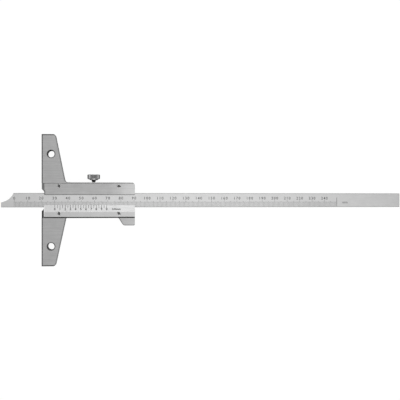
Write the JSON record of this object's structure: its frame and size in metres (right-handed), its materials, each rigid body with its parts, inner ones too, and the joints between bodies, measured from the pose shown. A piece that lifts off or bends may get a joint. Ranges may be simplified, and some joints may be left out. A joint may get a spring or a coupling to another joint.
{
  "type": "depth gauge",
  "caption": "Depth gauge: T-shaped base with a flat measuring face, a graduated rule sliding through its arm, a bevelled vernier plate and a knurled lock screw.",
  "frame": {"origin": "where the rule's axis meets the plane of the measuring face, level with the back face", "axes": "+X along the rule away from the work, +Y along the base towards the lock screw, +Z out of the scale side; the gauge lies on its back on Z = 0"},
  "size_m": [0.3115, 0.1, 0.0095],
  "materials": {
    "ground_steel": "matte ground",
    "satin_chrome": "satin chrome plated",
    "screw_steel": "turned and blackened",
    "brass": "machined",
    "spring_bronze": "rolled strip",
    "lock_steel": "turned and knurled, nickel plated",
    "scale_ink": "ink in engraved lines"
  },
  "bodies": {
    "frame": {"base_frame": "ground_steel", "vernier_plate": "satin_chrome", "guide_plate": "ground_steel", "guide_screw_left": "screw_steel", "guide_screw_right": "screw_steel", "vernier_screw_left": "screw_steel", "vernier_screw_right": "screw_steel", "gib": "brass", "gib_spring": "spring_bronze"},
    "rule": {"beam": "satin_chrome"},
    "shoe": {"lock_shoe": "brass"},
    "lock": {"lock_screw": "lock_steel"}
  },
  "joints": [
    {"name": "rule_slide", "type": "slide", "parent": "frame", "child": "rule", "axis": [-1, 0, 0], "range_m": [-0.0302, 0.1698]},
    {"name": "shoe_slide", "type": "slide", "parent": "frame", "child": "shoe", "axis": [0, -1, 0], "range_m": [-0.00035, 0.0001]},
    {"name": "lock_turn", "type": "hinge", "parent": "shoe", "child": "lock", "pos_m": [0.0389, 0.016, 0.0048], "axis": [0, -1, 0], "range_deg": [-281, 81]}
  ],
  "couplings": [
    {"joint": "lock_turn", "follows": "shoe_slide", "rad_per_m": 13963}
  ]
}
